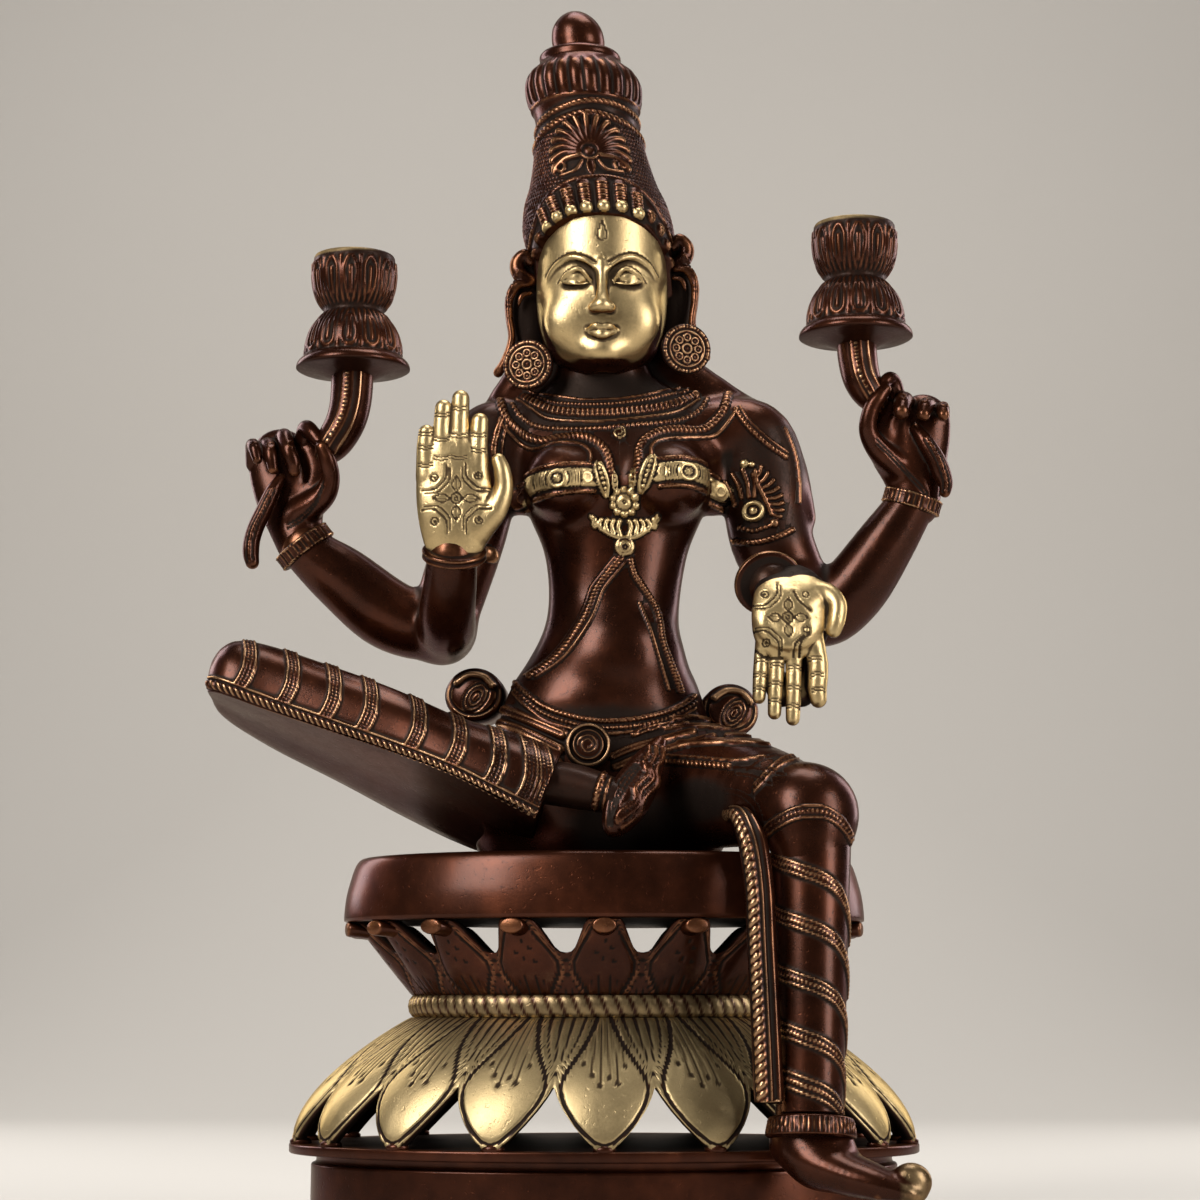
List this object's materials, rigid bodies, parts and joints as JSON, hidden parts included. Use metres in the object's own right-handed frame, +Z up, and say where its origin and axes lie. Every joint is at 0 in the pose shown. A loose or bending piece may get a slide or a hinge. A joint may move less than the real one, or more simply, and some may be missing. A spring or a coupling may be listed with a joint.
{
  "type": "seated goddess statue",
  "caption": "Seated four-armed goddess of cast brass with one leg hanging, a lotus in each back hand, on an oval double-lotus plinth.",
  "frame": {"origin": "centre of the oval plinth's underside", "axes": "+Z up, +X towards the viewer's right, -Y out of the figure's front"},
  "size_m": [0.3653, 0.2332, 0.6183],
  "materials": {
    "plinth_brass": "brass with a dark brown patina, rubbed back to gold on the lower petals",
    "figure_brass": "brass with a dark reddish brown satin patina, rubbed back to gold on face, palms and jewellery"
  },
  "bodies": {
    "root": {"lotus_plinth": "plinth_brass", "lakshmi_figure": "figure_brass"}
  },
  "joints": []
}
